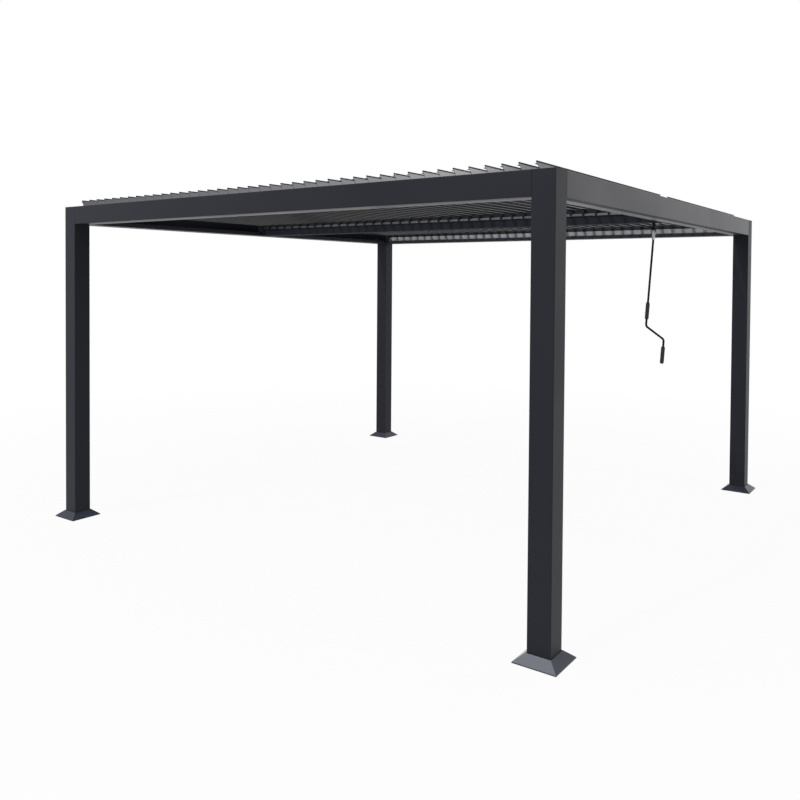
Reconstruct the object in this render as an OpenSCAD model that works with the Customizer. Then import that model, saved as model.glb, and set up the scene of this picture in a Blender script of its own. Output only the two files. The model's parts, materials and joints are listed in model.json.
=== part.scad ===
// Louvred-roof pergola: four posts, outer beams with gutters, a middle beam,
// two banks of tilting blades that move together, and a hand crank.
// +Z is up. The origin lies on the ground under the middle of the roof.
// The front and back beams run along X, and the blades run along Y.

/* [Frame] */
// Width over the outer faces of the posts, along X
frame_w = 4000; // [3400:10:4400]
// Depth over the outer faces of the posts, along Y
frame_d = 4000; // [2600:10:4600]
// Height of the top edge of the beams above the ground
frame_h = 2340; // [2000:5:2800]
// Width of each square post
post_w = 125; // [115:1:140]
// Wall thickness of the posts
post_wall = 3; // [2:0.5:5]
// Radius of the posts' outer corners
post_corner = 4; // [1:0.5:8]
// Thickness of the plate on top of each post
cap_t = 4; // [2:0.5:8]
// Diameter of the drain hole at the top of each post
drain_d = 50; // [30:1:56]

/* [Feet] */
// Width of the square base plate under each post
plate_w = 190; // [184:1:205]
// Thickness of the base plate
plate_t = 8; // [6:0.5:12]
// Distance between the anchor holes, both ways
anchor_spacing = 154; // [150:1:160]
// Diameter of the anchor holes
anchor_d = 12; // [10:0.5:14]
// Width of the foot cover at the ground
cover_w = 230; // [222:1:250]
// Height of the foot cover
cover_h = 44; // [40:1:70]
// Height of the upright band at the bottom of the foot cover
cover_band_h = 5; // [5:0.5:12]
// Wall thickness of the foot cover
cover_wall = 3; // [2:0.5:4]
// Gap between the foot cover and the post
cover_gap = 0.5; // [0.3:0.1:0.9]

/* [Beams] */
// Height of all beams
beam_h = 130; // [120:1:160]
// Width of the hollow box of an outer beam
box_w = 55; // [45:1:62]
// Wall thickness of the beams
beam_wall = 3; // [2:0.5:4]
// Radius of the beams' outer edges
beam_edge = 1.5; // [0.5:0.25:1.5]
// Width of the middle beam
mid_w = 125; // [100:1:150]
// Height of the gutter's inner lip
gutter_h = 33; // [25:1:50]
// Thickness of the gutter sheet
gutter_t = 3; // [2:0.5:4]

/* [Louvres] */
// Number of blades in each bank
louvre_count = 41; // [39:1:43]
// Tilt of the blades as stored, from the closed roof
rest_tilt = 62; // [30:1:80]
// Drop of the pivots below the top edge of the beams
pivot_drop = 27; // [22:1:32]
// Room between the first blade's tip and the left beam when closed
tip_room = 5; // [5:0.5:12]
// Distance from the last pivot to the right beam
last_room = 49; // [42:1:60]
// Gap between a blade's tip and the next pivot when closed
tip_gap = 11.5; // [11:0.5:13]
// Thickness of the blade sheet
blade_t = 2.5; // [1.5:0.25:3]
// Height of the rim along the blade's tip
rim_h = 4; // [2:0.5:6]
// Distance from the blade's tip to the root of its drip lip
lip_back = 14.5; // [14.5:0.5:18]
// Length of the drip lip
lip_len = 13; // [8:0.5:13]
// Slant of the drip lip towards the tip
lip_slant = 25; // [10:1:26]
// Radius of the round boss along the pivot axis
boss_r = 7; // [6.5:0.25:7]
// Width of the rain channel from the pivot axis
channel_w = 14; // [12.5:0.5:14]
// Depth of the rain channel below the blade's underside
channel_d = 10; // [8:0.5:12]
// Gap between the blade ends and the beams
end_gap = 15; // [15:0.5:20]
// Diameter of the pivot pins
pivot_d = 10; // [6:0.5:11]
// Radial play of the pivot pins in the beams
pivot_play = 0.5; // [0.4:0.1:0.8]

/* [Link bars] */
// Distance from a blade's pivot to its link pin
arm_len = 36; // [33:1:38]
// Thickness of the blades' arms
arm_t = 4; // [3:0.5:5]
// Width of the round ends of the blades' arms
arm_w = 16; // [13:1:18]
// Height of the link bars
bar_h = 16; // [14:1:18]
// Thickness of the link bars
bar_t = 4; // [3:0.5:4]
// Gap between the arms and the link bars
bar_gap = 1.5; // [1:0.25:1.5]
// Diameter of the link pins
link_d = 8; // [5:0.5:9]
// Radial play of the link pins
link_play = 0.5; // [0.4:0.1:0.8]

/* [Crank] */
// Which blade, counted from the left, the gearbox turns
driven_louvre = 40; // [38:1:40]
// Height of the gearbox inside the middle beam
gearbox_h = 60; // [40:1:70]
// Width of the gearbox inside the middle beam
gearbox_w = 76; // [60:1:84]
// Diameter of the bearing neck under the middle beam
neck_d = 24; // [22:1:40]
// Length of the bearing neck below the middle beam
neck_h = 14; // [8:1:20]
// Width of the flange under the middle beam
flange_w = 56; // [48:1:80]
// Thickness of the flange
flange_t = 4; // [3:0.5:6]
// Diameter of the drive shaft
shaft_d = 14; // [12:0.5:16]
// Radial play of the drive shaft in its neck
shaft_play = 0.5; // [0.4:0.1:0.8]
// Height of the hook pin below the middle beam
eye_drop = 58; // [50:1:66]
// Thickness of the eye
eye_t = 8; // [6:0.5:10]
// Width of the eye
eye_w = 22; // [20:1:26]
// Diameter of the hook pin
hook_d = 8; // [6:0.5:9]
// Radial play of the hook pin in the eye
hook_play = 0.5; // [0.4:0.1:0.8]
// Thickness of the hook's two legs
leg_t = 4; // [3:0.5:5]
// Width of the hook's two legs
leg_w = 16; // [13:1:18]
// Distance from the hook pin to the rod's socket
leg_h = 36; // [30:1:44]
// Diameter of the rod's socket
socket_d = 20; // [18:1:24]
// Length of the rod's socket
socket_h = 22; // [16:1:30]
// Diameter of the crank's rod
rod_d = 14; // [12:0.5:16]
// Distance from the hook pin to the crank's first bend
rod_len = 648; // [560:1:760]
// Sideways offset of the crank's handle
crank_offset = 128; // [100:1:160]
// Length that the offset takes along the rod
crank_drop = 77; // [65:1:110]
// Radius of the two bends
bend_r = 25; // [20:1:35]
// Length of the handle from the second bend to its end
handle_len = 164; // [155:1:190]
// Length of the grips
grip_len = 106; // [80:1:112]
// Diameter of the grips
grip_d = 26; // [22:1:32]
// Rounding of the grips' ends
grip_round = 3; // [2:0.5:3]
// Radial play of the grips on the rod
grip_play = 0.4; // [0.3:0.1:0.6]
// Distance from the upper grip's lower end to the first bend
grip_rise = 52; // [40:1:70]
// Thickness of the stop collars on the rod
collar_t = 5; // [3:0.5:8]
// Height of the stop collars over the rod
collar_rise = 3; // [2:0.5:4]

/* [Hidden] */
// How far a cutter runs past the faces that it opens
overrun = 2;
// How far a pivot pin stands out inside the beam
pin_proud = 2;
// How far the straight rod runs into a bend, and how much the bend swells over it
bend_seat = 3;
bend_swell = 0.3;
// Gap between the grips and their stop collars
collar_gap = 0.4;
// Play of the gearbox's neck in the middle beam
neck_play = 0.5;
// Play of the rod in the hook's socket
socket_play = 0.1;
// Play of the hook's legs beside the eye
eye_play = 0.6;
// Width of the arms between their round ends, as a share of the ends' width
arm_web_share = 0.75;
// Weight of the grips' material against the rod's, by volume
grip_weight_share = 0.15;
$fn = 48;

anthracite = "#3b3d42";
blade_grey = "#7c8088";
cover_grey = "#6d7076";
bare_metal = "#b9bcc0";
rod_black = "#1b1c1e";

// Levels
beam_bottom = frame_h - beam_h;
floor_top = beam_bottom + gutter_t;
lip_top = beam_bottom + gutter_h;
pivot_z = frame_h - pivot_drop;

// Plan of the frame
post_x = frame_w / 2 - post_w / 2;
post_y = frame_d / 2 - post_w / 2;
span_x = frame_w - 2 * post_w;
span_y = frame_d - 2 * post_w;
wall_x = frame_w / 2 - box_w;
wall_y = frame_d / 2 - box_w;
trough_w = post_w - box_w;

// Blades: the pitch fills the clear width, and the tip reaches to its gap from the next pivot
pitch = (2 * wall_x + tip_gap - tip_room - last_room) / louvre_count;
blade_reach = pitch - tip_gap;
first_x = -wall_x + tip_room + blade_reach;
bank_start = mid_w / 2 + end_gap;
bank_end = wall_y - end_gap;
pin_reach = end_gap + beam_wall + pin_proud;
// The boss stands half way into the sheet above it
blade_rise = boss_r - blade_t / 2;
channel_lip_top = blade_rise - tip_room;

// The link pins hang straight down at the middle of the blades' travel
full_open = 90;
arm_angle = rest_tilt - full_open / 2;
arm_x = -arm_len * sin(arm_angle);
arm_z = -arm_len * cos(arm_angle);

// Crank: the rod leans until its weight hangs under the hook pin
crank_x = first_x + (driven_louvre - 1) * pitch;
eye_z = beam_bottom - eye_drop;
bend_angle = atan2(crank_offset, crank_drop);
bend_tangent = bend_r * tan(bend_angle / 2);
slope_len = norm([crank_offset, crank_drop]);
handle_top = rod_len + crank_drop;
handle_end = handle_top + handle_len;
rod_top = leg_h + socket_h / 2;
upper_grip_top = rod_len - grip_rise - grip_len;
lower_grip_top = handle_end - grip_len - collar_t - collar_gap;
rod_r = rod_d / 2;
rod_area = rod_r * rod_r;
grip_area = grip_weight_share * (grip_d * grip_d / 4 - rod_area);
socket_area = socket_d * socket_d / 4;
weights = [
    [rod_area * (rod_len - rod_top), 0, (rod_top + rod_len) / 2],
    [rod_area * slope_len, crank_offset / 2, rod_len + crank_drop / 2],
    [rod_area * handle_len, crank_offset, handle_top + handle_len / 2],
    [grip_area * grip_len, 0, upper_grip_top + grip_len / 2],
    [grip_area * grip_len, crank_offset, lower_grip_top + grip_len / 2],
    [socket_area * socket_h, 0, leg_h + socket_h / 2]
];
weight_across = [for (w = weights) w[0] * w[1]] * [for (w = weights) 1];
weight_along = [for (w = weights) w[0] * w[2]] * [for (w = weights) 1];
crank_lean = atan2(weight_across, weight_along);

function two_digits(i) = str(i < 10 ? "0" : "", i);
function louvre_name(i) = str("louvre_", two_digits(i));
function louvre_x(i) = first_x + (i - 1) * pitch;
function inner_wall_y(side, wall) = side < 0 ? -wall_y - wall : wall_y;

// Places its children at the four posts
module at_posts() {
    for (sx = [-1, 1], sy = [-1, 1])
        translate([sx * post_x, sy * post_y, 0])
            children();
}

// A rectangle with round corners
module round_rect(w, h, r) {
    square([w, h - 2 * r], center = true);
    square([w - 2 * r, h], center = true);
    for (sx = [-1, 1], sy = [-1, 1])
        translate([sx * (w / 2 - r), sy * (h / 2 - r)])
            circle(r);
}

// A square with round corners
module round_square(w, r) {
    round_rect(w, w, r);
}

// The outline of a post's top: two legs in line with the beams, round the corner of the gutters
module post_top_outline(sx, sy, inset) {
    corner = inset > 0 ? post_corner / 2 : post_corner;
    difference() {
        round_square(post_w - 2 * inset, corner);
        translate([-sx * (box_w - inset), -sy * (box_w - inset)])
            square(post_w, center = true);
    }
}

// The walls of a post with its drain, open at the top where its cap sits
module post_walls(sx, sy) {
    top = frame_h - cap_t;
    difference() {
        union() {
            translate([0, 0, plate_t])
                linear_extrude(floor_top - plate_t)
                    round_square(post_w, post_corner);
            translate([0, 0, floor_top])
                linear_extrude(top - floor_top)
                    post_top_outline(sx, sy, 0);
        }
        translate([0, 0, plate_t - overrun])
            linear_extrude(beam_bottom - plate_t + overrun)
                round_square(post_w - 2 * post_wall, post_corner / 2);
        translate([0, 0, floor_top])
            linear_extrude(top - floor_top + overrun)
                post_top_outline(sx, sy, post_wall);
        translate([-sx * box_w / 2, -sy * box_w / 2, beam_bottom - overrun])
            cylinder(d = drain_d, h = gutter_t + 2 * overrun);
    }
}

// A post, bored where a blade's pin lies past the end of the beam
module post(sx, sy) {
    color(anthracite)
        difference() {
            translate([sx * post_x, sy * post_y, 0])
                post_walls(sx, sy);
            pivot_holes(inner_wall_y(sy, post_wall) - overrun / 2, post_wall + overrun);
        }
}

module front_left_post() { post(-1, -1); }
module front_right_post() { post(1, -1); }
module back_left_post() { post(-1, 1); }
module back_right_post() { post(1, 1); }

// Caps over the legs of the posts' tops
module post_caps() {
    color(anthracite)
        for (sx = [-1, 1], sy = [-1, 1])
            translate([sx * post_x, sy * post_y, frame_h - cap_t])
                linear_extrude(cap_t)
                    post_top_outline(sx, sy, 0);
}

// Plates under the posts, bolted to the ground
module base_plates() {
    color(cover_grey)
        at_posts()
            difference() {
                translate([-plate_w / 2, -plate_w / 2, 0])
                    cube([plate_w, plate_w, plate_t]);
                for (sx = [-1, 1], sy = [-1, 1])
                    translate([sx * anchor_spacing / 2, sy * anchor_spacing / 2, -overrun])
                        cylinder(d = anchor_d, h = plate_t + 2 * overrun);
            }
}

// The side view of a foot cover: an upright band and a slope up to the post
module cover_outline(bottom_w, top_w, band_h, h) {
    polygon([
        [-bottom_w / 2, 0], [bottom_w / 2, 0],
        [bottom_w / 2, band_h], [top_w / 2, h],
        [-top_w / 2, h], [-bottom_w / 2, band_h]
    ]);
}

// A block with that side view both ways
module cover_block(bottom_w, top_w, band_h, h) {
    intersection() {
        translate([0, bottom_w / 2, 0])
            rotate([90, 0, 0])
                linear_extrude(bottom_w)
                    cover_outline(bottom_w, top_w, band_h, h);
        translate([-bottom_w / 2, 0, 0])
            rotate([90, 0, 90])
                linear_extrude(bottom_w)
                    cover_outline(bottom_w, top_w, band_h, h);
    }
}

// Sloping covers that hide the base plates and their anchors
module foot_covers() {
    hole_w = post_w + 2 * cover_gap;
    top_w = hole_w + 2 * cover_wall;
    color(cover_grey)
        at_posts()
            difference() {
                cover_block(cover_w, top_w, cover_band_h, cover_h);
                translate([0, 0, -cover_wall])
                    cover_block(cover_w - 2 * cover_wall, top_w - 2 * cover_wall, cover_band_h, cover_h);
                translate([-hole_w / 2, -hole_w / 2, 0])
                    cube([hole_w, hole_w, cover_h + overrun]);
            }
}

// A row of holes along X for the blades' pivot pins, cut through a wall of a beam
module pivot_holes(y, length) {
    for (i = [1 : louvre_count])
        translate([louvre_x(i), y, pivot_z])
            rotate([-90, 0, 0])
                cylinder(d = pivot_d + 2 * pivot_play, h = length);
}

// A hollow box of a beam, open at both ends, along X
module beam_tube(length, w, h, wall) {
    translate([-length / 2, 0, h / 2])
        rotate([90, 0, 90])
            linear_extrude(length)
                difference() {
                    round_rect(w, h, beam_edge);
                    square([w - 2 * wall, h - 2 * wall], center = true);
                }
}

// A beam under the ends of the blades: the front one is at -1, the back one at 1
module end_beam(side) {
    color(anthracite)
        difference() {
            translate([0, side * (frame_d / 2 - box_w / 2), beam_bottom])
                beam_tube(span_x, box_w, beam_h, beam_wall);
            pivot_holes(inner_wall_y(side, beam_wall) - overrun / 2, beam_wall + overrun);
        }
}

// A beam along the blades: the left one is at -1, the right one at 1
module side_beam(side) {
    color(anthracite)
        translate([side * (frame_w / 2 - box_w / 2), 0, beam_bottom])
            rotate([0, 0, 90])
                beam_tube(span_y, box_w, beam_h, beam_wall);
}

module front_beam() { end_beam(-1); }
module back_beam() { end_beam(1); }
module left_beam() { side_beam(-1); }
module right_beam() { side_beam(1); }

// The middle beam, notched at both ends to pass over the lips of the gutters
module middle_beam() {
    neck_hole = neck_d + 2 * neck_play;
    color(anthracite)
        difference() {
            translate([0, 0, beam_bottom])
                beam_tube(2 * wall_x, mid_w, beam_h, beam_wall);
            for (side = [-1, 1])
                translate([side * wall_x, 0, beam_bottom])
                    cube([2 * trough_w, mid_w + 2 * overrun, 2 * gutter_h], center = true);
            pivot_holes(-mid_w / 2 - overrun, mid_w + 2 * overrun);
            translate([crank_x, 0, beam_bottom - overrun])
                cylinder(d = neck_hole, h = beam_wall + 2 * overrun);
        }
}

// One gutter along X, with its back against a beam's box
module gutter(length) {
    translate([-length / 2, 0, beam_bottom]) {
        cube([length, trough_w, gutter_t]);
        translate([0, trough_w - gutter_t, 0])
            cube([length, gutter_t, gutter_h]);
    }
}

// Gutters along the inside of the four outer beams
module gutters() {
    color(anthracite)
        for (side = [0, 180])
            rotate([0, 0, side]) {
                translate([0, -wall_y, 0])
                    gutter(span_x);
                rotate([0, 0, 90])
                    translate([0, -wall_x, 0])
                        gutter(span_y);
            }
}

// The blade's section as it lies when the roof is closed, with the pivot axis at the origin
module blade_section() {
    channel_bottom = blade_rise - channel_d;
    circle(boss_r);
    translate([-blade_reach, blade_rise])
        square([blade_reach, blade_t]);
    translate([-blade_reach, blade_rise])
        square([blade_t, blade_t + rim_h]);
    translate([-blade_reach + lip_back, blade_rise + blade_t / 2])
        rotate(-90 - lip_slant)
            translate([0, -blade_t / 2])
                square([lip_len, blade_t]);
    translate([0, channel_bottom])
        square([channel_w, blade_t]);
    translate([channel_w - blade_t, channel_bottom])
        square([blade_t, channel_lip_top - channel_bottom]);
}

// The arm at a blade's inner end: a web between two round ends, at the pivot and at the link pin
module arm_outline() {
    web_w = arm_w * arm_web_share;
    circle(d = arm_w);
    translate([arm_x, arm_z])
        circle(d = arm_w);
    rotate(-90 - arm_angle)
        translate([0, -web_w / 2])
            square([arm_len, web_w]);
}

// Stands a flat outline up in the XZ plane, with its thickness from y0 to y1
module upright(y0, y1) {
    translate([0, y1, 0])
        rotate([90, 0, 0])
            linear_extrude(y1 - y0)
                children();
}

// Places its children behind the middle beam, and their mirror image in front of it
module both_banks() {
    children();
    mirror([0, 1, 0])
        children();
}

// A blade with its two pivot pins, and with its arm and link pin beside the middle beam
module blade() {
    upright(bank_start, bank_end)
        rotate(-rest_tilt)
            blade_section();
    upright(bank_start - pin_reach, bank_end + pin_reach)
        circle(d = pivot_d);
    upright(bank_start - arm_t, bank_start)
        arm_outline();
    upright(bank_start - arm_t - bar_gap - bar_t, bank_start)
        translate([arm_x, arm_z])
            circle(d = link_d);
}

// The blades of both banks on one axis
module louvre(i) {
    color(blade_grey)
        translate([louvre_x(i), 0, pivot_z])
            both_banks()
                blade();
}

// Flat bars along both sides of the middle beam, which join the arms of all blades in a bank
module link_bars() {
    first = louvre_x(1) + arm_x;
    last = louvre_x(louvre_count) + arm_x;
    bar_back = bank_start - arm_t - bar_gap;
    color(bare_metal)
        both_banks()
            translate([0, 0, pivot_z + arm_z])
                upright(bar_back - bar_t, bar_back)
                    difference() {
                        translate([first - bar_h / 2, -bar_h / 2])
                            square([last - first + bar_h, bar_h]);
                        for (i = [1 : louvre_count])
                            translate([louvre_x(i) + arm_x, 0])
                                circle(d = link_d + 2 * link_play);
                    }
}

// The gearbox stands on the middle beam's floor, with a bearing neck and a flange below
module gearbox() {
    color(rod_black)
        translate([crank_x, 0, beam_bottom])
            difference() {
                union() {
                    translate([-gearbox_w / 2, -gearbox_w / 2, beam_wall])
                        cube([gearbox_w, gearbox_w, gearbox_h]);
                    translate([0, 0, -neck_h])
                        cylinder(d = neck_d, h = neck_h + beam_wall + overrun);
                    translate([-flange_w / 2, -flange_w / 2, -flange_t])
                        cube([flange_w, flange_w, flange_t]);
                }
                translate([0, 0, -neck_h - overrun])
                    cylinder(d = shaft_d + 2 * shaft_play, h = neck_h + gearbox_h / 2 + overrun);
            }
}

// The drive shaft, which ends in a flat eye under the beam
module drive_eye() {
    shaft_bottom = eye_drop - eye_w / 2;
    color(rod_black)
        translate([crank_x, 0, beam_bottom])
            difference() {
                union() {
                    translate([0, 0, -shaft_bottom])
                        cylinder(d = shaft_d, h = shaft_bottom + gearbox_h / 2 - overrun);
                    upright(-eye_t / 2, eye_t / 2) {
                        translate([0, -eye_drop])
                            circle(d = eye_w);
                        translate([-eye_w / 2, -eye_drop])
                            square([eye_w, eye_w / 2 + overrun]);
                    }
                }
                upright(-eye_w, eye_w)
                    translate([0, -eye_drop])
                        circle(d = hook_d + 2 * hook_play);
            }
}

// Hangs its children from the hook pin at the crank's own lean
module hung_crank() {
    translate([crank_x, 0, eye_z])
        rotate([0, crank_lean, 0])
            children();
}

// The crank's hook: two legs beside the eye, a pin through it and a socket for the rod
module crank_hook() {
    leg_y = eye_t / 2 + eye_play;
    color(bare_metal)
        hung_crank() {
            for (side = [-1, 1])
                upright(side * (leg_y + leg_t / 2) - leg_t / 2, side * (leg_y + leg_t / 2) + leg_t / 2) {
                    circle(d = leg_w);
                    translate([-leg_w / 2, -leg_h])
                        square([leg_w, leg_h]);
                }
            upright(-leg_y - leg_t, leg_y + leg_t)
                circle(d = hook_d);
            translate([0, 0, -leg_h - socket_h])
                difference() {
                    cylinder(d = socket_d, h = socket_h);
                    translate([0, 0, -overrun])
                        cylinder(d = rod_d + 2 * socket_play, h = socket_h / 2 + overrun);
                }
        }
}

// A straight length of round rod that runs down, from a little above its top to a little below its end
module rod_down(length) {
    translate([0, 0, -length - bend_seat])
        cylinder(d = rod_d, h = length + 2 * bend_seat);
}

// A round bend that starts downwards and turns towards +X, followed by its children
module rod_bend(angle) {
    translate([bend_r, 0, 0])
        rotate([90, 0, 0])
            rotate([0, 0, 180])
                rotate_extrude(angle = angle)
                    translate([bend_r, 0])
                        circle(d = rod_d + 2 * bend_swell);
    translate([bend_r * (1 - cos(angle)), 0, -bend_r * sin(angle)])
        rotate([0, -angle, 0])
            children();
}

// A stop collar round the rod, below a place on it
module rod_collar(place) {
    translate([0, 0, -place - collar_t])
        cylinder(d = rod_d + 2 * collar_rise, h = collar_t);
}

// The bent rod, with stop collars at the ends of the grips
module crank_rod() {
    straight = rod_len - bend_tangent - rod_top - bend_seat;
    color(rod_black)
        hung_crank() {
            rod_collar(upper_grip_top - collar_gap - collar_t);
            rod_collar(upper_grip_top + grip_len + collar_gap);
            translate([crank_offset, 0, 0]) {
                rod_collar(lower_grip_top - collar_gap - collar_t);
                rod_collar(handle_end - collar_t);
            }
            translate([0, 0, -rod_top - bend_seat]) {
                rod_down(straight);
                translate([0, 0, -straight])
                    rod_bend(bend_angle) {
                        rod_down(slope_len - 2 * bend_tangent);
                        translate([0, 0, -slope_len + 2 * bend_tangent])
                            rotate([0, 0, 180])
                                rod_bend(bend_angle)
                                    rod_down(handle_len - bend_tangent - bend_seat);
                    }
            }
        }
}

// A grip's wall in half section, with round outer ends
module grip_wall() {
    bore_r = rod_r + grip_play;
    wall = grip_d / 2 - bore_r;
    intersection() {
        translate([bore_r, 0])
            square([wall, grip_len]);
        union() {
            translate([bore_r, 0])
                square([wall - grip_round, grip_len]);
            translate([bore_r, grip_round])
                square([wall, grip_len - 2 * grip_round]);
            for (y = [grip_round, grip_len - grip_round])
                translate([grip_d / 2 - grip_round, y])
                    circle(grip_round);
        }
    }
}

// The two sleeves that turn on the rod in the user's hands
module crank_grips() {
    color(rod_black)
        hung_crank()
            for (place = [[0, upper_grip_top], [crank_offset, lower_grip_top]])
                translate([place[0], 0, -place[1] - grip_len])
                    rotate_extrude()
                        grip_wall();
}

front_left_post();
front_right_post();
back_left_post();
back_right_post();
base_plates();
foot_covers();
post_caps();
front_beam();
back_beam();
left_beam();
right_beam();
middle_beam();
gutters();
for (i = [1 : louvre_count])
    louvre(i);
link_bars();
gearbox();
drive_eye();
crank_hook();
crank_rod();
crank_grips();
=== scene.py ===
import json
import math

import bmesh
import bpy
from mathutils import Matrix, Vector

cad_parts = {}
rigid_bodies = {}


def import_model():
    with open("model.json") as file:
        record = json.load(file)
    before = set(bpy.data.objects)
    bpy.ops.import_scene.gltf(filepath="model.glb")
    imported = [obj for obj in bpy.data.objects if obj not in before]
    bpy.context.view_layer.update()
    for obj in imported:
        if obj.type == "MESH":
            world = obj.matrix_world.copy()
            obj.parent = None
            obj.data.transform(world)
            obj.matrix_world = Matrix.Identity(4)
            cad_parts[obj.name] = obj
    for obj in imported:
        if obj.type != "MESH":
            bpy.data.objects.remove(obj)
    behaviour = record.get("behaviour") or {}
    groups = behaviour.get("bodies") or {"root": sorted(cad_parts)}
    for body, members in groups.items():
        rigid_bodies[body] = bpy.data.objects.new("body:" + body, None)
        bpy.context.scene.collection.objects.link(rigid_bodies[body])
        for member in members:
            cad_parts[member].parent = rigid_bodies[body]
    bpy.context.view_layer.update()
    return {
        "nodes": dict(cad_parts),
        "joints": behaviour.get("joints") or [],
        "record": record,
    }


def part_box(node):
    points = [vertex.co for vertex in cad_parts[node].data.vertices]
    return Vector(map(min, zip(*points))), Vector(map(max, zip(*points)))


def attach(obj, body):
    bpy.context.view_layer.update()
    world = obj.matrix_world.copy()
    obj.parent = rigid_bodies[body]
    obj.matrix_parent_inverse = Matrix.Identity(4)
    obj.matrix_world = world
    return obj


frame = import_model()

# Sizes of the fittings, in metres
END_GAP = 0.015
BUSH_BORE_R = 0.0053
BUSH_R = 0.010
BUSH_T = 0.0026
RIVET_R = 0.0068
RIVET_T = 0.0022
RIVET_GAP = 0.0003
LINK_DEPTH = 0.0095
SEAL_W = 0.0038
SEAL_H = 0.0043
SEAL_SINK = 0.0004
CHANNEL_W = 0.014
BLADE_T = 0.0025
CHANNEL_LIP_TOP = 0.00075
SCREW_R = 0.0050
SCREW_H = 0.0027
SCREW_INSET = 0.008
SOCKET_DEPTH = 0.0018
SOCKET_ACROSS = 0.0030
FLANGE_W = 0.056
FLANGE_T = 0.004
GUTTER_T = 0.003
LINER_H = 0.072
LINER_T = 0.001
LINER_GAP = 0.0002
LINER_HEM = 0.005
LINER_END = 0.002

# Outlines of the rivet heads and screw heads, as shares of their radius and height
RIVET_SHARES = ((1, 0), (1, 0.3), (0.86, 0.68), (0.6, 0.9), (0.2, 1))
SCREW_SHARES = ((1, 0), (1, 0.35), (0.9, 0.75), (0.7, 1))

# Sides of the turned fittings, and the angle from one side of a hexagon to the next
BUSH_SIDES = 32
RIVET_SIDES = 20
SCREW_SIDES = 24
HEX_STEP = math.pi / 3

# Round stretches of the outlines, in degrees, and their steps
ARC_LEAD = 15
QUARTER_TURN = 90
HALF_TURN = 180
SEAL_ARC_START = -45
SEAL_ARC_END = 225
BUSH_ARC_STEPS = 4
SEAL_ARC_STEPS = 10
HEM_ARC_STEPS = 8

# Faces that meet at less than this many degrees are shaded as one
SMOOTH_DEG = 35.0

# Camera fitted to the photograph, in metres, degrees and pixels of an 800 by 800 picture
CAMERA_PLACE = Vector((3.573, -5.406, 1.826))
CAMERA_YAW = 35.727
CAMERA_PITCH = -1.244
CAMERA_ROLL = 0.390
CAMERA_REACH = 500
FOCAL_PX = 796.375
CENTRE_PX = Vector((400.676, 294.942))
PICTURE_PX = 800
SENSOR_MM = 36

# Light levels, where 1 is white
WORLD_LEVEL = 0.42
KEY_LEVEL = 5.5
ROOF_LEVEL = 2.5
SIDE_LEVEL = 0.55
SUN_LEVEL = 0.42

# Places of the softboxes, what they look at, and their widths and depths, in metres
KEY_PLACE = (-1.0, -4.0, 6.5)
KEY_TARGET = (0.8, -1.0, 0.0)
KEY_SIZE = (3.0, 4.0)
SIDE_PLACE = (6.8, 8.0, 3.6)
SIDE_TARGET = (2.0, 0.0, 2.3)
SIDE_SIZE = (4.0, 3.0)
ROOF_PLACE = (2.0, 3.0, 7.0)
ROOF_TARGET = (0.0, 0.0, 2.3)
ROOF_SIZE = (5.0, 4.0)

# Where the sun shines to, and its width in degrees
SUN_DIRECTION = (0.18, 0.65, -0.74)
SUN_SPREAD = 5.0

# Floor: sizes and reaches in metres, the grey that lights the object, and the white that shows near it
FLOOR_SIZE = 200.0
FLOOR_DROP = 0.0005
FLOOR_GREY = (0.5, 0.5, 0.5, 1.0)
FLOOR_WHITE_SHARE = 0.95
SHADOW_REACH = 2.5
FLOOR_REACH = 8.0

# Colours of the stage and the finishes
WHITE = (1.0, 1.0, 1.0, 1.0)
ANTHRACITE = (0.0150, 0.0165, 0.0230)
# The blades' grey is the frame's anthracite painted lighter: painted light, for the light the blades catch
# from above
BLADE_GREY_PAINTED_LIT = (0.025, 0.027, 0.036)
COVER_GREY = (0.0190, 0.0210, 0.0400)
ROD_BLACK = (0.004, 0.004, 0.0045)
ZINC = (0.22, 0.225, 0.24)
# Pale grey of the guessed gutter liners, partly painted light: it makes the light through the blades show
# as bright patches on the back wall
LINER_PAINTED_LIGHT_GREY = (0.45, 0.46, 0.48)
STEEL = (0.46, 0.47, 0.49)
GRIP_BLACK = (0.006, 0.006, 0.0065)
RUBBER_BLACK = (0.010, 0.010, 0.010)

# Faint blue of the coats' sheen
COAT_TINT = (0.91, 0.94, 1.0, 1.0)

# Band of a noise value that is stretched over a range
NOISE_LOW = 0.3
NOISE_HIGH = 0.7

# How noise is stretched into faint drawn lines along each axis
LINES_ALONG = {"x": (0.4, 70, 70), "y": (70, 0.4, 70), "z": (70, 70, 0.4)}

# Noise of the powder coat: its mottling, drawn lines and grain, and the orange peel
CLOUD_SCALE = 1.7
CLOUD_DETAIL = 3.0
LINE_SCALE = 1.0
LINE_DETAIL = 2.0
GRAIN_SCALE = 700.0
GRAIN_DETAIL = 2.0
CLOUD_SHARES = (0.9, 1.1)
LINE_SHARES = (0.94, 1.0)
GRAIN_SHARES = (0.86, 1.0)
COAT_SMOOTHER = 0.04
COAT_ROUGHER = 0.05
PEEL_STRENGTH = 0.12
PEEL_DEPTH = 0.0003

# Noise of the bare metals
BRUSH_SCALE = 6.0
BRUSH_DETAIL = 4.0
PATCH_SCALE = 30.0
PATCH_DETAIL = 3.0
PATCH_SHARES = (0.82, 1.06)
METAL_SMOOTHER = 0.08
METAL_ROUGHER = 0.12
BRUSH_STRENGTH = 0.08
BRUSH_DEPTH = 0.0002

# Noise of the plastics and rubbers
WEAR_SCALE = 24.0
WEAR_DETAIL = 3.0
SPARK_DETAIL = 3.0
WEAR_SHARES = (0.8, 1.25)
MOULDED_SMOOTHER = 0.05
MOULDED_ROUGHER = 0.08
MOULDED_SPECULAR = 0.4
SPARK_STRENGTH = 0.25
SPARK_DEPTH = 0.0003

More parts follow.
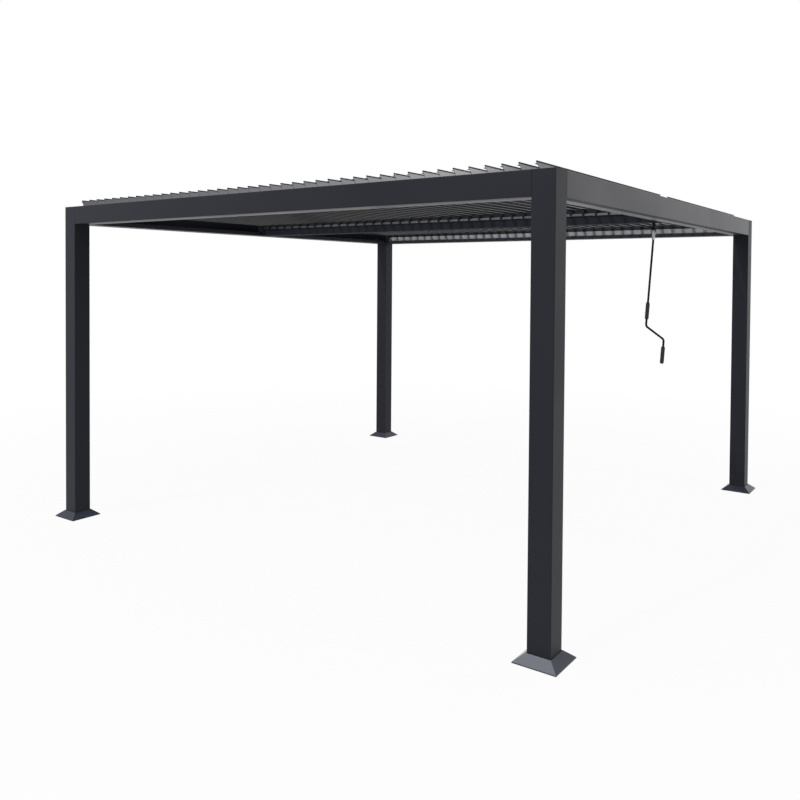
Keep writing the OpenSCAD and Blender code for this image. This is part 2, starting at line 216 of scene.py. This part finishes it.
# Upward part of a face's normal at which it is fully an underside, and at which it is none
UNDERSIDE_FULL = -0.95
UNDERSIDE_NONE = -0.8

# Samples of the rounded edges
EDGE_SAMPLES = 4


def put_in_scene(thing):
    """Adds an object to the scene."""
    bpy.context.scene.collection.objects.link(thing)


def link(tree, source, target):
    """Joins two sockets of a node tree."""
    tree.links.new(source, target)


def add_node(tree, kind, **settings):
    """Adds a node and sets its own properties."""
    node = tree.nodes.new(kind)
    for key, value in settings.items():
        setattr(node, key, value)
    return node


def new_material(name):
    """A material with a principled shader. Gives the material, its tree, the shader and object space."""
    material = bpy.data.materials.new(name)
    material.use_nodes = True
    tree = material.node_tree
    tree.nodes.clear()
    shader = add_node(tree, "ShaderNodeBsdfPrincipled")
    output = add_node(tree, "ShaderNodeOutputMaterial")
    link(tree, shader.outputs["BSDF"], output.inputs["Surface"])
    place = add_node(tree, "ShaderNodeTexCoord")
    return material, tree, shader, place.outputs["Object"]


def noise(tree, place, scale, detail, stretch=None):
    """A noise value in object space. stretch multiplies the three axes first."""
    if stretch is not None:
        mapping = add_node(tree, "ShaderNodeMapping")
        mapping.inputs["Scale"].default_value = stretch
        link(tree, place, mapping.inputs["Vector"])
        place = mapping.outputs["Vector"]
    node = add_node(tree, "ShaderNodeTexNoise")
    node.inputs["Scale"].default_value = scale
    node.inputs["Detail"].default_value = detail
    link(tree, place, node.inputs["Vector"])
    return node.outputs["Fac"]


def spread(tree, value, low, high, start=NOISE_LOW, end=NOISE_HIGH):
    """Maps a value from start to end to a range from low to high."""
    node = add_node(tree, "ShaderNodeMapRange")
    node.inputs["From Min"].default_value = start
    node.inputs["From Max"].default_value = end
    node.inputs["To Min"].default_value = low
    node.inputs["To Max"].default_value = high
    link(tree, value, node.inputs["Value"])
    return node.outputs["Result"]


def shade(colour, factor):
    """A colour made lighter or darker, with full alpha."""
    return tuple(channel * factor for channel in colour[:3]) + (1.0,)


def two_tone(tree, value, colour, shares):
    """A colour that goes from a darker to a lighter share of itself by a noise value."""
    ramp = add_node(tree, "ShaderNodeValToRGB")
    for element, position, share in zip(ramp.color_ramp.elements, (NOISE_LOW, NOISE_HIGH), shares):
        element.position = position
        element.color = shade(colour, share)
    link(tree, value, ramp.inputs["Fac"])
    return ramp.outputs["Color"]


def multiply(tree, first, second):
    """One colour multiplied by another."""
    node = add_node(tree, "ShaderNodeMix", data_type="RGBA", blend_type="MULTIPLY")
    node.inputs["Factor"].default_value = 1.0
    link(tree, first, node.inputs["A"])
    link(tree, second, node.inputs["B"])
    return node.outputs["Result"]


def add(tree, first, second):
    """The sum of two values."""
    node = add_node(tree, "ShaderNodeMath", operation="ADD")
    link(tree, first, node.inputs[0])
    link(tree, second, node.inputs[1])
    return node.outputs[0]


def bump(tree, shader, height, strength, distance, edge_r=0.0):
    """Drives the shader's normal by a height, on top of edges rounded by a radius."""
    node = add_node(tree, "ShaderNodeBump")
    node.inputs["Strength"].default_value = strength
    node.inputs["Distance"].default_value = distance
    link(tree, height, node.inputs["Height"])
    if edge_r > 0:
        edges = add_node(tree, "ShaderNodeBevel", samples=EDGE_SAMPLES)
        edges.inputs["Radius"].default_value = edge_r
        link(tree, edges.outputs["Normal"], node.inputs["Normal"])
    link(tree, node.outputs["Normal"], shader.inputs["Normal"])


def underside(tree, most):
    """A value that rises to the given most on faces that look straight down."""
    place = add_node(tree, "ShaderNodeTexCoord")
    parts = add_node(tree, "ShaderNodeSeparateXYZ")
    link(tree, place.outputs["Normal"], parts.inputs["Vector"])
    return spread(tree, parts.outputs["Z"], most, 0.0, UNDERSIDE_FULL, UNDERSIDE_NONE)


def powder_coat(name, colour, along, roughness, specular, edge_r=0.0, dull_below=0.0):
    """Satin powder coat on drawn metal: soft mottling, faint drawn lines and a fine orange peel.

    dull_below adds roughness to the undersides.
    """
    material, tree, shader, place = new_material(name)
    cloud = noise(tree, place, CLOUD_SCALE, CLOUD_DETAIL)
    lines = noise(tree, place, LINE_SCALE, LINE_DETAIL, LINES_ALONG[along])
    grain = noise(tree, place, GRAIN_SCALE, GRAIN_DETAIL)
    mottled = two_tone(tree, cloud, colour, CLOUD_SHARES)
    lined = two_tone(tree, lines, WHITE, LINE_SHARES)
    speckled = two_tone(tree, grain, WHITE, GRAIN_SHARES)
    tone = multiply(tree, multiply(tree, mottled, lined), speckled)
    link(tree, tone, shader.inputs["Base Color"])
    rough = spread(tree, cloud, roughness - COAT_SMOOTHER, roughness + COAT_ROUGHER)
    if dull_below > 0:
        rough = add(tree, rough, underside(tree, dull_below))
    link(tree, rough, shader.inputs["Roughness"])
    shader.inputs["Specular IOR Level"].default_value = specular
    shader.inputs["Specular Tint"].default_value = COAT_TINT
    bump(tree, shader, grain, PEEL_STRENGTH, PEEL_DEPTH, edge_r)
    return material


def brushed_metal(name, colour, along, roughness):
    """Bare or plated metal with fine drawn lines and a few dull patches."""
    material, tree, shader, place = new_material(name)
    lines = noise(tree, place, BRUSH_SCALE, BRUSH_DETAIL, LINES_ALONG[along])
    patches = noise(tree, place, PATCH_SCALE, PATCH_DETAIL)
    link(tree, two_tone(tree, patches, colour, PATCH_SHARES), shader.inputs["Base Color"])
    shader.inputs["Metallic"].default_value = 1.0
    rough = spread(tree, lines, roughness - METAL_SMOOTHER, roughness + METAL_ROUGHER)
    link(tree, rough, shader.inputs["Roughness"])
    bump(tree, shader, lines, BRUSH_STRENGTH, BRUSH_DEPTH)
    return material


def moulded(name, colour, roughness, grain_scale):
    """Moulded plastic or rubber with a fine spark-eroded grain and slight wear in tone."""
    material, tree, shader, place = new_material(name)
    wear = noise(tree, place, WEAR_SCALE, WEAR_DETAIL)
    grain = noise(tree, place, grain_scale, SPARK_DETAIL)
    link(tree, two_tone(tree, wear, colour, WEAR_SHARES), shader.inputs["Base Color"])
    rough = spread(tree, wear, roughness - MOULDED_SMOOTHER, roughness + MOULDED_ROUGHER)
    link(tree, rough, shader.inputs["Roughness"])
    shader.inputs["Specular IOR Level"].default_value = MOULDED_SPECULAR
    bump(tree, shader, grain, SPARK_STRENGTH, SPARK_DEPTH)
    return material


# Finishes
coat_x = powder_coat("frame_coat_x", ANTHRACITE, "x", roughness=0.45, specular=0.18)
coat_y = powder_coat("frame_coat_y", ANTHRACITE, "y", roughness=0.28, specular=0.17, dull_below=0.35)
coat_z = powder_coat("frame_coat_z", ANTHRACITE, "z", roughness=0.45, specular=0.18)
middle_coat = powder_coat("middle_coat", ANTHRACITE, "x", roughness=0.45, specular=0.16, dull_below=0.35)
gutter_coat = powder_coat("gutter_coat", ANTHRACITE, "x", roughness=0.42, specular=0.3)
# The blades' lighter grey is painted light from above
blade_coat = powder_coat("blade_coat", BLADE_GREY_PAINTED_LIT, "y", roughness=0.2, specular=0.36)
cover_coat = powder_coat("cover_coat", COVER_GREY, "z", roughness=0.2, specular=0.36, edge_r=0.0012)
black_coat = powder_coat("black_coat", ROD_BLACK, "z", roughness=0.45, specular=0.1)
bar_metal = brushed_metal("bare_metal", ZINC, "x", roughness=0.36)
hook_metal = brushed_metal("bright_steel", STEEL, "z", roughness=0.26)
# The liners' pale grey partly paints the bright daylight patches on the dark back wall
liner_painted_light_coat = powder_coat("liner_painted_light_coat", LINER_PAINTED_LIGHT_GREY, "x", roughness=0.5, specular=0.3)
grip_plastic = moulded("grip_plastic", GRIP_BLACK, roughness=0.52, grain_scale=900.0)
seal_rubber = moulded("seal_rubber", RUBBER_BLACK, roughness=0.7, grain_scale=600.0)
bush_nylon = moulded("bush_nylon", RUBBER_BLACK, roughness=0.45, grain_scale=500.0)

# Finish of each material slot of the record
SLOT_MATERIALS = {
    "frame_coat": coat_z,
    "blade_coat": blade_coat,
    "cover_coat": cover_coat,
    "black_coat": black_coat,
    "bare_metal": bar_metal,
    "bright_steel": hook_metal,
    "grip_plastic": grip_plastic,
}

# Nodes of the frame whose metal isn't drawn along Z
NODE_MATERIALS = {
    "front_beam": coat_x,
    "back_beam": coat_x,
    "left_beam": coat_y,
    "right_beam": coat_y,
    "middle_beam": middle_coat,
    "gutters": gutter_coat,
}


def dress_nodes():
    """Gives each carried-over solid the finish of its node, or else of its slot."""
    for part in frame["record"]["subparts"]:
        name = part["node"]
        material = NODE_MATERIALS.get(name, SLOT_MATERIALS[part["material_slot"]])
        materials = frame["nodes"][name].data.materials
        materials.clear()
        materials.append(material)


def new_piece(name, shape, material, body):
    """Turns a bmesh into a piece that rides on a body."""
    bmesh.ops.recalc_face_normals(shape, faces=shape.faces)
    data = bpy.data.meshes.new(name)
    shape.to_mesh(data)
    shape.free()
    for face in data.polygons:
        face.use_smooth = True
    data.set_sharp_from_angle(angle=math.radians(SMOOTH_DEG))
    data.materials.append(material)
    piece = bpy.data.objects.new(name, data)
    put_in_scene(piece)
    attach(piece, body)


def add_rings(shape, rings, closed):
    """Joins rings of points by quads.

    closed joins the last ring to the first. Otherwise both ends are filled.
    """
    loops = [[shape.verts.new(point) for point in ring] for ring in rings]
    pairs = list(zip(loops, loops[1:]))
    if closed:
        pairs.append((loops[-1], loops[0]))
    for first, second in pairs:
        for i in range(len(first)):
            j = (i + 1) % len(first)
            shape.faces.new((first[i], first[j], second[j], second[i]))
    if not closed:
        shape.faces.new(loops[0])
        shape.faces.new(loops[-1])


def add_lathe(shape, outline, place, sides, closed=False):
    """Turns an outline of (radius, height) points round a place's own Z axis.

    A point with a third value makes a hexagonal ring, and its radius is half the width across the flats.
    """
    rings = []
    for point in outline:
        ring = []
        for i in range(sides):
            angle = 2 * math.pi * i / sides
            radius = point[0]
            if len(point) == 3:
                radius /= math.cos((angle + HEX_STEP / 2) % HEX_STEP - HEX_STEP / 2)
            ring.append(place @ Vector((radius * math.cos(angle), radius * math.sin(angle), point[1])))
        rings.append(ring)
    add_rings(shape, rings, closed)


def arc(centre, radius, start, end, steps):
    """Points along a circle's arc, in degrees."""
    points = []
    for i in range(steps + 1):
        angle = math.radians(start + (end - start) * i / steps)
        points.append((centre[0] + radius * math.cos(angle), centre[1] + radius * math.sin(angle)))
    return points


def facing(point, direction):
    """A place at a point whose Z axis looks along a direction."""
    return Matrix.Translation(point) @ Vector(direction).to_track_quat("Z", "Y").to_matrix().to_4x4()


# Places taken from the frame's joints and beams
tilts = {joint["child"]: joint for joint in frame["joints"] if joint["name"].endswith("_tilt")}
pivots = {name: Vector(joint["pos_m"]) for name, joint in tilts.items()}
bar_joint = next(joint for joint in frame["joints"] if joint["child"] == "link_bars")
pin_offset = Vector(bar_joint["pos_m"]) - pivots[bar_joint["parent"]]
rest_tilt = math.radians(-tilts["louvre_01"]["range_deg"][0])
front_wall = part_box("front_beam")[1].y
back_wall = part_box("back_beam")[0].y
mid_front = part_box("middle_beam")[0].y
mid_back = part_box("middle_beam")[1].y
front_bank = (front_wall + END_GAP, mid_front - END_GAP)
back_bank = (mid_back + END_GAP, back_wall - END_GAP)
banks = (front_bank, back_bank)


def add_bushes():
    """Flanged bushes round the pivot pins, one row on each wall that carries blades."""
    round_r = BUSH_T / 2
    outline = [(BUSH_BORE_R, 0), (BUSH_R, 0), (BUSH_R, BUSH_T - round_r)]
    outline += arc((BUSH_R - round_r, BUSH_T - round_r), round_r, ARC_LEAD, QUARTER_TURN, BUSH_ARC_STEPS)
    outline += [(BUSH_BORE_R, BUSH_T)]
    walls = (
        ("front", front_wall, 1),
        ("middle_front", mid_front, -1),
        ("middle_back", mid_back, 1),
        ("back", back_wall, -1),
    )
    for name, y, side in walls:
        shape = bmesh.new()
        for pivot in pivots.values():
            place = facing((pivot.x, y, pivot.z), (0, side, 0))
            add_lathe(shape, outline, place, BUSH_SIDES, closed=True)
        new_piece(f"pivot_bushes_{name}", shape, bush_nylon, "frame")


def add_rivets():
    """Domed heads on the link pins, between the link bars and the middle beam."""
    dome = [(RIVET_R * across, RIVET_T * up) for across, up in RIVET_SHARES]
    reach = LINK_DEPTH + RIVET_GAP
    for name, pivot in pivots.items():
        shape = bmesh.new()
        pin = pivot + pin_offset
        for inner_end, side in ((front_bank[1], 1), (back_bank[0], -1)):
            place = facing((pin.x, inner_end + side * reach, pin.z), (0, side, 0))
            add_lathe(shape, dome, place, RIVET_SIDES)
        new_piece(f"link_rivets_{name[-2:]}", shape, bar_metal, name)


def add_seals():
    """Rubber bulb seals along the rain channels' edges.

    They lie under the next blade's tip when the roof is closed.
    """
    half = BLADE_T / 2
    bulb_r = SEAL_W / 2
    centre = (CHANNEL_W - half, CHANNEL_LIP_TOP + SEAL_H - bulb_r)
    foot = CHANNEL_LIP_TOP - SEAL_SINK
    outline = [(centre[0] - half, foot), (centre[0] + half, foot)]
    outline += arc(centre, bulb_r, SEAL_ARC_START, SEAL_ARC_END, SEAL_ARC_STEPS)
    turn = Matrix.Rotation(rest_tilt, 4, "Y")
    for name, pivot in pivots.items():
        shape = bmesh.new()
        for bank in banks:
            rings = []
            for y in bank:
                rings.append([pivot + Vector((0, y, 0)) + turn @ Vector((x, 0, z)) for x, z in outline])
            add_rings(shape, rings, closed=False)
        new_piece(f"blade_seals_{name[-2:]}", shape, seal_rubber, name)


def add_flange_screws():
    """Four socket screws in the flange under the middle beam."""
    eye = next(Vector(joint["pos_m"]) for joint in frame["joints"] if joint["child"] == "drive_eye")
    flange_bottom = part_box("front_beam")[0].z - FLANGE_T
    outline = [(SCREW_R * across, SCREW_H * up) for across, up in SCREW_SHARES]
    outline += [(SOCKET_ACROSS / 2, SCREW_H, "hex"), (SOCKET_ACROSS / 2, SCREW_H - SOCKET_DEPTH, "hex")]
    shape = bmesh.new()
    reach = FLANGE_W / 2 - SCREW_INSET
    for side_x in (-1, 1):
        for side_y in (-1, 1):
            place = facing((eye.x + side_x * reach, eye.y + side_y * reach, flange_bottom), (0, 0, -1))
            add_lathe(shape, outline, place, SCREW_SIDES)
    new_piece("flange_screws", shape, hook_metal, "frame")


def add_liners():
    """Pale coated sheets behind the front and back gutters, against the beams, with a hem along the top.
    The sheets are guessed, and their pale grey is partly painted light: it makes the lamps' light through
    the blades show as bright patches on the dark back wall.
    """
    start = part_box("front_beam")[0].x + LINER_END
    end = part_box("front_beam")[1].x - LINER_END
    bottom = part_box("front_beam")[0].z + GUTTER_T + LINER_GAP
    top = bottom + LINER_H
    hem_r = LINER_T
    outline = [(0, bottom), (LINER_T, bottom), (LINER_T, top - LINER_HEM)]
    outline += [(2 * LINER_T, top - LINER_HEM), (2 * LINER_T, top - hem_r)]
    outline += arc((hem_r, top - hem_r), hem_r, ARC_LEAD, HALF_TURN, HEM_ARC_STEPS)
    for name, wall, side in (("front", front_wall, 1), ("back", back_wall, -1)):
        shape = bmesh.new()
        rings = []
        for x in (start, end):
            rings.append([Vector((x, wall + side * (LINER_GAP + depth), z)) for depth, z in outline])
        add_rings(shape, rings, closed=False)
        new_piece(f"gutter_liner_{name}", shape, liner_painted_light_coat, "frame")


def seen_directly(tree):
    """1 for camera, glossy and transmission rays, and 0 for the rays that light the object."""
    path = add_node(tree, "ShaderNodeLightPath")
    first = add_node(tree, "ShaderNodeMath", operation="MAXIMUM")
    link(tree, path.outputs["Is Camera Ray"], first.inputs[0])
    link(tree, path.outputs["Is Glossy Ray"], first.inputs[1])
    second = add_node(tree, "ShaderNodeMath", operation="MAXIMUM")
    link(tree, first.outputs[0], second.inputs[0])
    link(tree, path.outputs["Is Transmission Ray"], second.inputs[1])
    return second.outputs[0]


def make_world():
    """A white surround that lights the object softly."""
    world = bpy.data.worlds.new("studio")
    bpy.context.scene.world = world
    world.use_nodes = True
    tree = world.node_tree
    tree.nodes.clear()
    output = add_node(tree, "ShaderNodeOutputWorld")
    mix = add_node(tree, "ShaderNodeMixShader")
    lit = add_node(tree, "ShaderNodeBackground")
    lit.inputs["Strength"].default_value = WORLD_LEVEL
    lit.inputs["Color"].default_value = WHITE
    shown = add_node(tree, "ShaderNodeBackground")
    shown.inputs["Color"].default_value = WHITE
    link(tree, seen_directly(tree), mix.inputs["Fac"])
    link(tree, lit.outputs[0], mix.inputs[1])
    link(tree, shown.outputs[0], mix.inputs[2])
    link(tree, mix.outputs[0], output.inputs["Surface"])


def make_floor():
    """A plain white floor that keeps a faint shadow round the object."""
    bpy.ops.mesh.primitive_plane_add(size=FLOOR_SIZE, location=(0, 0, -FLOOR_DROP))
    floor = bpy.context.object
    floor.name = "floor"
    material = bpy.data.materials.new("floor")
    material.use_nodes = True
    tree = material.node_tree
    tree.nodes.clear()
    output = add_node(tree, "ShaderNodeOutputMaterial")
    mix = add_node(tree, "ShaderNodeMixShader")
    diffuse = add_node(tree, "ShaderNodeBsdfDiffuse")
    diffuse.inputs["Color"].default_value = FLOOR_GREY
    glow = add_node(tree, "ShaderNodeEmission")
    glow.inputs["Color"].default_value = WHITE
    place = add_node(tree, "ShaderNodeTexCoord")
    reach = add_node(tree, "ShaderNodeVectorMath", operation="LENGTH")
    link(tree, place.outputs["Object"], reach.inputs[0])
    white = spread(tree, reach.outputs["Value"], FLOOR_WHITE_SHARE, 1.0, SHADOW_REACH, FLOOR_REACH)
    share = add_node(tree, "ShaderNodeMath", operation="MULTIPLY")
    link(tree, seen_directly(tree), share.inputs[0])
    link(tree, white, share.inputs[1])
    link(tree, share.outputs[0], mix.inputs["Fac"])
    link(tree, diffuse.outputs[0], mix.inputs[1])
    link(tree, glow.outputs[0], mix.inputs[2])
    link(tree, mix.outputs[0], output.inputs["Surface"])
    floor.data.materials.append(material)


def make_softbox(name, place, target, size, level):
    """A soft rectangular lamp whose face is as bright as a level of white."""
    width, depth = size
    data = bpy.data.lights.new(name, "AREA")
    data.shape = "RECTANGLE"
    data.size = width
    data.size_y = depth
    data.energy = level * math.pi * width * depth
    lamp = bpy.data.objects.new(name, data)
    lamp.location = place
    lamp.rotation_euler = (Vector(target) - Vector(place)).to_track_quat("-Z", "Y").to_euler()
    lamp.visible_camera = False
    put_in_scene(lamp)


def make_sun(name, direction, level, spread_deg):
    """A soft far light that lights a face square to it by a level of white."""
    data = bpy.data.lights.new(name, "SUN")
    data.energy = level * math.pi
    data.angle = math.radians(spread_deg)
    lamp = bpy.data.objects.new(name, data)
    lamp.rotation_euler = Vector(direction).to_track_quat("-Z", "Y").to_euler()
    put_in_scene(lamp)


def make_camera():
    """The camera that took the photograph, as fitted to its posts, beams and feet."""
    yaw = math.radians(CAMERA_YAW)
    pitch = math.radians(CAMERA_PITCH)
    roll = math.radians(CAMERA_ROLL)
    up = Vector((0, 0, 1))
    level_ahead = Vector((-math.sin(yaw), math.cos(yaw), 0))
    level_right = Vector((math.cos(yaw), math.sin(yaw), 0))
    ahead = level_ahead * math.cos(pitch) + up * math.sin(pitch)
    over = up * math.cos(pitch) - level_ahead * math.sin(pitch)
    camera_right = level_right * math.cos(roll) + over * math.sin(roll)
    camera_up = over * math.cos(roll) - level_right * math.sin(roll)
    data = bpy.data.cameras.new("camera")
    data.sensor_fit = "HORIZONTAL"
    data.sensor_width = SENSOR_MM
    data.lens = FOCAL_PX * SENSOR_MM / PICTURE_PX
    data.shift_x = (PICTURE_PX / 2 - CENTRE_PX.x) / PICTURE_PX
    data.shift_y = (CENTRE_PX.y - PICTURE_PX / 2) / PICTURE_PX
    data.clip_end = CAMERA_REACH
    camera = bpy.data.objects.new("camera", data)
    turn = Matrix((camera_right, camera_up, -ahead)).transposed().to_4x4()
    camera.matrix_world = Matrix.Translation(CAMERA_PLACE) @ turn
    put_in_scene(camera)
    bpy.context.scene.camera = camera


dress_nodes()
add_bushes()
add_rivets()
add_seals()
add_flange_screws()
add_liners()
make_world()
make_floor()
make_softbox("key_softbox", KEY_PLACE, KEY_TARGET, KEY_SIZE, KEY_LEVEL)
make_softbox("side_softbox", SIDE_PLACE, SIDE_TARGET, SIDE_SIZE, SIDE_LEVEL)
make_sun("high_light", SUN_DIRECTION, SUN_LEVEL, SUN_SPREAD)
make_softbox("roof_softbox", ROOF_PLACE, ROOF_TARGET, ROOF_SIZE, ROOF_LEVEL)
make_camera()
bpy.context.scene.view_settings.view_transform = "Standard"
